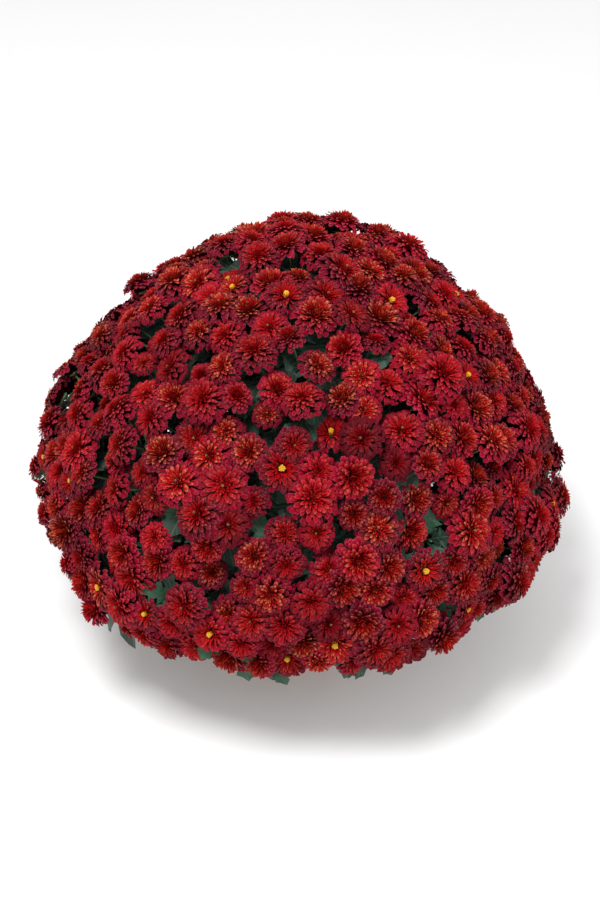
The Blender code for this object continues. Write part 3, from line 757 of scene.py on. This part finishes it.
colour = blended(tree, between(tree, warm, 0.0, 1.0, 0.0, 0.85), colour, CRIMSON_WARM)
# Pale rims and tips: partly the petals' own paler edges, partly a painted sheen highlight
rim_and_sheen = node(tree, "Math", {0: sideways}, operation="ABSOLUTE").outputs[0]
rim_and_sheen = between(tree, rim_and_sheen, 0.74, 1.0, 0.0, 0.36)
tip_rim_and_sheen = between(tree, along, 0.88, 1.0, 0.0, 0.42)
rim_and_sheen = node(tree, "Math", {0: tip_rim_and_sheen, 1: rim_and_sheen}, operation="MAXIMUM").outputs[0]
gilt = node(tree, "Math", {0: warm, 1: bronze}, operation="MULTIPLY").outputs[0]
colour = blended(tree, rim_and_sheen, colour, blended(tree, gilt, PETAL_PALE_RIM_AND_SHEEN, PETAL_GOLD))
gilt_tip = node(tree, "Math", {0: between(tree, along, 0.76, 0.98), 1: gilt}, operation="MULTIPLY").outputs[0]
lucky = between(tree, chance, 0.45, 0.75)
gilt_tip = node(tree, "Math", {0: gilt_tip, 1: lucky}, operation="MULTIPLY").outputs[0]
colour = blended(tree, between(tree, gilt_tip, 0.0, 1.0, 0.0, 0.9), colour, PETAL_GOLD)
back_tone = blended(tree, between(tree, veins, 0.54, 0.68, 0.0, 0.6), PETAL_BACK, PETAL_GOLD)
backs = node(tree, "Math", {0: back, 1: bronze}, operation="MULTIPLY").outputs[0]
colour = blended(tree, between(tree, backs, 0.0, 1.0, 0.0, 0.55), colour, back_tone)
# Painted shade: petals darken towards their feet, in the crevices under the petals above, less so in the
# middle of a head
foot_shade = between(tree, layer, 1.0, 0.25, 0.25, 1.0)
foot_shade = node(tree, "Math", {0: between(tree, along, 0.78, 0.30), 1: foot_shade}, operation="MULTIPLY").outputs[0]
colour = blended(tree, foot_shade, colour, PETAL_FOOT_SHADE)
colour = blended(tree, faded, colour, PETAL_FADED)
tree.links.new(colour, shader.inputs["Base Color"])
tree.links.new(between(tree, veins, 0.3, 0.7, 0.48, 0.66), shader.inputs["Roughness"])
shader.inputs["Specular IOR Level"].default_value = 0.06
relief(tree, shader, veins, 0.5, 0.0004)

disc_skin, tree, shader = new_finish("disc_yellow")
where = node(tree, "TexCoord", {}).outputs["Object"]
pollen = grain(tree, where, 1400.0, 3.0, 0.6)
colour = blended(tree, between(tree, pollen, 0.35, 0.7), DISC_OLIVE, DISC_YELLOW)
tree.links.new(colour, shader.inputs["Base Color"])
tree.links.new(between(tree, pollen, 0.3, 0.7, 0.6, 0.85), shader.inputs["Roughness"])
relief(tree, shader, pollen, 0.7, 0.0006)

button_skin, tree, shader = new_finish("closed_florets")
where = node(tree, "TexCoord", {}).outputs["Object"]
florets = node(tree, "TexVoronoi", {"Vector": where, "Scale": 1100.0}).outputs["Distance"]
colour = blended(tree, between(tree, florets, 0.15, 0.55), BUTTON_GOLD, BUTTON_BROWN)
tree.links.new(colour, shader.inputs["Base Color"])
tree.links.new(between(tree, florets, 0.2, 0.6, 0.6, 0.85), shader.inputs["Roughness"])
relief(tree, shader, florets, 0.8, 0.0006)


def petal_pattern(outline, name):
    """A three-cornered strip, pinched at foot and tip: two faces make its crest and one its flat side."""
    made = blank(3, outline, True)
    ridge = max(v.co.y for v in made.verts)
    flat = min(v.co.y for v in made.verts)
    widest = max(v.co.x for v in made.verts)
    for corner in made.verts:
        if math.hypot(corner.co.x, corner.co.y) > 0.01:
            corner.co.y = (corner.co.y - flat) / (ridge - flat)
            corner.co.x /= widest
    for edge in made.edges:
        first, second = [v.co for v in edge.verts]
        edge.smooth = first.y > 0.5 or second.y > 0.5 or first.x * second.x < -0.5
    flat_side = made.faces.layers.float.new("petal_back")
    for face in made.faces:
        face[flat_side] = 0.0 if any(v.co.y > 0.5 for v in face.verts) else 1.0
    return taken_from(made, name)


long_petal = petal_pattern(LONG_PETAL, "long_petal")
short_petal = petal_pattern(SHORT_PETAL, "short_petal")
inner_petal = petal_pattern(INNER_PETAL, "inner_petal")


class Petal:
    """One petal's line, in the upright plane through the head's axis, and its cut."""

    def __init__(self, azimuth, foot, tip, landing, scale_length, half_width, layer):
        self.azimuth = azimuth
        self.foot = foot
        self.tip = tip
        span = tip - foot
        self.middle = tip - Vector((math.cos(landing), 0, math.sin(landing))) * scale_length
        self.turned_in = landing > math.atan2(span.z, span.x)
        self.half_width = half_width
        self.layer = layer


def lay_petal(head, petal, draw):
    """Bends a strip into a petal: its crest lies on the face that turns up, or on the back if it turns in."""
    outward = Vector((math.cos(petal.azimuth), math.sin(petal.azimuth), 0))
    sideways = Vector((-math.sin(petal.azimuth), math.cos(petal.azimuth), 0))
    twist = draw.uniform(-PETAL_TWIST, PETAL_TWIST)
    chance = draw.random()
    mark = head.verts.layers.float_vector["petal_place"]
    luck = head.verts.layers.float["petal_chance"]
    backs = head.faces.layers.float["petal_back"]
    outline, pattern = SHORT_PETAL, short_petal
    if petal.layer < LONG_LAYERS:
        outline, pattern = LONG_PETAL, long_petal
    elif petal.layer > INNER_LAYERS:
        outline, pattern = INNER_PETAL, inner_petal
    corners = laid(head, pattern)
    for corner in corners:
        share, half = outline[round(corner.co.z)]
        out, crest = corner.co.x, corner.co.y
        spot = bow(petal.foot, petal.middle, petal.tip, share)
        run = (petal.middle - petal.foot) * (1 - share) + (petal.tip - petal.middle) * share
        run.normalize()
        front = outward * -run.z + Vector((0, 0, run.x))
        across = sideways * math.cos(twist * share) + front * math.sin(twist * share)
        bulge = crest * PETAL_RIDGE * half * petal.half_width * (-1 if petal.turned_in else 1)
        corner.co = outward * spot.x + Vector((0, 0, spot.z)) + across * (out * half * petal.half_width)
        corner.co += front * bulge
        corner[mark] = (share, out, petal.layer)
        corner[luck] = chance
    if petal.turned_in:
        for face in {face for corner in corners for face in corner.link_faces}:
            face[backs] = 1.0 - face[backs]
            face.normal_flip()


# Each kind: its petals, the dome's height, the hollow in its middle, how far its outer and its innermost
# petals bend over from straight, its girth, and what its middle is
BLOOM_KINDS = {
    "full": (150, 0.66, 0.00, 1.00, 0.42, 0.98, "closed"),
    "rounded": (150, 0.74, 0.00, 1.04, 0.50, 0.94, "closed"),
    "spreading": (148, 0.56, 0.03, 0.96, 0.45, 1.02, "button"),
    "streaked": (146, 0.68, 0.00, 0.76, -0.20, 0.98, "closed"),
    "brushed": (142, 0.64, 0.02, 0.60, -0.10, 1.00, "closed"),
    "tight": (122, 0.78, 0.00, 0.62, -0.10, 0.80, "closed"),
    "eyed": (112, 0.50, 0.14, 0.94, 0.30, 1.00, "disc"),
    "open": (118, 0.46, 0.11, 0.92, 0.30, 1.03, "disc"),
    "old": (130, 0.50, 0.04, 1.12, 0.20, 0.94, "button"),
    "fading": (120, 0.46, 0.04, 1.16, 0.30, 0.88, "closed"),
}
# How many blooms in a hundred are of each kind, and how far from a head's axis its petals begin
KIND_SHARES = (18, 14, 18, 14, 14, 6, 3, 4, 6, 3)
MIDDLES = {"closed": math.radians(3), "button": math.radians(6), "disc": math.radians(17)}
# Which of a spray's three skins, counted from 0, its discs and buttons have
DISC_SKIN = 1
BUTTON_SKIN = 2
HEADS_A_KIND = 3
HEAD_SEED = 900
HEAD_SEED_STEP = 20
SPRAY_SEED = 700


def petal_pile():
    """An empty bmesh with room for what each petal says of itself."""
    pile = bmesh.new()
    pile.verts.layers.float_vector.new("petal_place")
    pile.verts.layers.float.new("petal_chance")
    pile.faces.layers.float.new("petal_back")
    return pile


def skinned(corners, skin):
    """Gives the faces round these corners another of the spray's materials."""
    for corner in corners:
        for face in corner.link_faces:
            face.material_index = skin


def grow_head(kind, seed):
    """One kind of bloom at unit radius, facing up, laid petal by petal round its golden spiral."""
    petals, dome, hollow, bend, inner_bend, girth, middle = BLOOM_KINDS[kind]
    draw = random.Random(seed)
    head = petal_pile()
    eye = MIDDLES[middle]
    outer_width, inner_width = PETAL_HALF_WIDTHS
    for number in range(petals):
        layer = number / (petals - 1)
        turn = eye + (RIM_TURN - eye) * (1 - layer) ** PETAL_PACKING
        stray = 1 + draw.uniform(-PETAL_STRAY, PETAL_STRAY)
        middle_drop = hollow * math.exp(-((turn / HOLLOW_TURN) ** 2))
        height = dome * math.cos(turn) * stray - DOME_SINK - middle_drop
        tip = Vector((girth * math.sin(turn) * stray, 0, height))
        foot = Vector((RECEPTACLE_RADIUS * (1 - RECEPTACLE_TAPER * layer), 0, -RECEPTACLE_DROP))
        climb = math.atan2(tip.z - foot.z, tip.x - foot.x)
        level = math.atan2(-dome * math.sin(turn), girth * math.cos(turn))
        share = bend + (inner_bend - bend) * layer**3 + draw.uniform(-PETAL_BENDS, PETAL_BENDS)
        landing = climb - (climb - level) * share
        half_width = outer_width + (inner_width - outer_width) * layer**0.8
        half_width *= draw.uniform(*PETAL_WIDTHS)
        azimuth = number * GOLDEN_TURN + draw.uniform(-PETAL_SHUFFLE, PETAL_SHUFFLE)
        scale_length = SCALE_LENGTH * min(1.0, SCALE_SHORTEST + SCALE_GROWTH * math.sin(turn))
        lay_petal(head, Petal(azimuth, foot, tip, landing, scale_length, half_width, layer), draw)
    top = dome - DOME_SINK - hollow
    if middle == "disc":
        base_width, tip_width = FLORET_WIDTHS
        for number in range(DISC_FLORETS):
            reach = DISC_RADIUS * math.sqrt(number / DISC_FLORETS)
            azimuth = number * GOLDEN_TURN
            floret = bmesh.ops.create_cone(
                head, cap_ends=True, segments=5, radius1=base_width, radius2=tip_width, depth=FLORET_HEIGHT
            )["verts"]
            place = around(reach, azimuth, top - DISC_SINK - reach * DISC_ROUNDING)
            bmesh.ops.translate(head, verts=floret, vec=place)
            skinned(floret, DISC_SKIN)
    if middle == "button":
        button = bmesh.ops.create_icosphere(head, subdivisions=1, radius=BUTTON_RADIUS)["verts"]
        bmesh.ops.translate(head, verts=button, vec=(0, 0, top - BUTTON_SINK * BUTTON_RADIUS))
        skinned(button, BUTTON_SKIN)
    return taken_from(head, f"head_{kind}")


head_patterns = {}
for number, kind in enumerate(BLOOM_KINDS):
    seeds = [HEAD_SEED + number + HEAD_SEED_STEP * other for other in range(HEADS_A_KIND)]
    head_patterns[kind] = [grow_head(kind, seed) for seed in seeds]


def set_bloom(spray, site, draw):
    """Lays one bloom at its site, with a turn, depth and tone of its own."""
    kind = draw.choices(list(BLOOM_KINDS), weights=KIND_SHARES)[0]
    across, other = side_axes(site.axis)
    stand = Matrix((across, other, site.axis)).transposed().to_4x4()
    stand = Matrix.Translation(site.centre) @ stand @ Matrix.Rotation(draw.uniform(0, WHOLE_TURN), 4, "Z")
    width = site.radius * HEAD_WIDTH
    shape = (width * draw.uniform(*HEAD_ROUNDNESS), width, width * draw.uniform(*HEAD_HEIGHTS), 1)
    stand = stand @ Matrix.Diagonal(shape)
    corners = laid(spray, draw.choice(head_patterns[kind]))
    bmesh.ops.transform(spray, matrix=stand, verts=corners)
    height = (site.centre.z - CUSHION_LEVEL) / CUSHION_RISE
    bronzed = draw.random() < BRONZE_SHARES[0] + BRONZE_SHARES[1] * height
    bronze = draw.uniform(*(BRONZE_STRONG if bronzed else BRONZE_WEAK))
    if kind in ("streaked", "brushed"):
        bronze += BRONZE_MORE
    faded = draw.uniform(*(FADED_OLD if kind in ("old", "fading") else FADED_YOUNG))
    tone = (draw.uniform(*BRIGHTNESS), min(bronze, 1.0), faded)
    mark = spray.verts.layers.float_vector["bloom_tone"]
    for corner in corners:
        corner[mark] = tone


for number in range(SPRAYS):
    draw = random.Random(SPRAY_SEED + number)
    spray = petal_pile()
    spray.verts.layers.float_vector.new("bloom_tone")
    for site in sites:
        if site.spray == number and not site.leafy:
            set_bloom(spray, site, draw)
    blooms = settled(f"blooms_{number + 1:02d}", spray, petal_skin, disc_skin, button_skin)
    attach(blooms, "root")
    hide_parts(f"bloom_spray_{number + 1:02d}")


# The studio: a pale floor and white surroundings, one large soft light high on the left and a weak
# one on the right, and the camera looking down on the cushion from its front.

FLOOR_WIDTH = 12.0
FLOOR_PALE = (0.93, 0.93, 0.93, 1)
FLOOR_SHADE = (0.91, 0.91, 0.91, 1)
SURROUNDINGS = 0.80
CAMERA_RISE = math.radians(36)
CAMERA_DISTANCE = 1.9
CAMERA_LENS = 67.3
CAMERA_SHIFT = (0.0022, -0.0144)
CAMERA_AIM = Vector((0, 0, 0.24))

floor_paint, tree, shader = new_finish("floor_pale")
where = node(tree, "TexCoord", {}).outputs["Object"]
colour = blended(tree, grain(tree, where, 3.0), FLOOR_PALE, FLOOR_SHADE)
tree.links.new(colour, shader.inputs["Base Color"])
shader.inputs["Roughness"].default_value = 0.9
ground = bmesh.new()
bmesh.ops.create_grid(ground, x_segments=1, y_segments=1, size=FLOOR_WIDTH / 2)
floor = settled("floor", ground, floor_paint)

world = bpy.data.worlds.new("studio")
bpy.context.scene.world = world
world.use_nodes = True
world.node_tree.nodes["Background"].inputs["Color"].default_value = (1, 1, 1, 1)
world.node_tree.nodes["Background"].inputs["Strength"].default_value = SURROUNDINGS


def hang_light(name, place, size, power):
    """A square soft light that looks at the plant."""
    lamp = bpy.data.lights.new(name, "AREA")
    lamp.size = size
    lamp.energy = power
    holder = bpy.data.objects.new(name, lamp)
    holder.location = place
    holder.rotation_euler = (CAMERA_AIM - Vector(place)).to_track_quat("-Z", "Y").to_euler()
    bpy.context.scene.collection.objects.link(holder)


hang_light("window_light", place=(-0.6, -0.9, 2.6), size=0.8, power=52)
hang_light("fill_light", place=(1.8, -1.4, 1.4), size=1.6, power=16)

lens = bpy.data.cameras.new("camera")
lens.lens = CAMERA_LENS
lens.shift_x, lens.shift_y = CAMERA_SHIFT
camera = bpy.data.objects.new("camera", lens)
sight = Vector((0, -math.cos(CAMERA_RISE), math.sin(CAMERA_RISE)))
camera.location = CAMERA_AIM + CAMERA_DISTANCE * sight
camera.rotation_euler = (CAMERA_AIM - camera.location).to_track_quat("-Z", "Y").to_euler()
bpy.context.scene.collection.objects.link(camera)
bpy.context.scene.camera = camera
bpy.context.scene.view_settings.view_transform = "Standard"
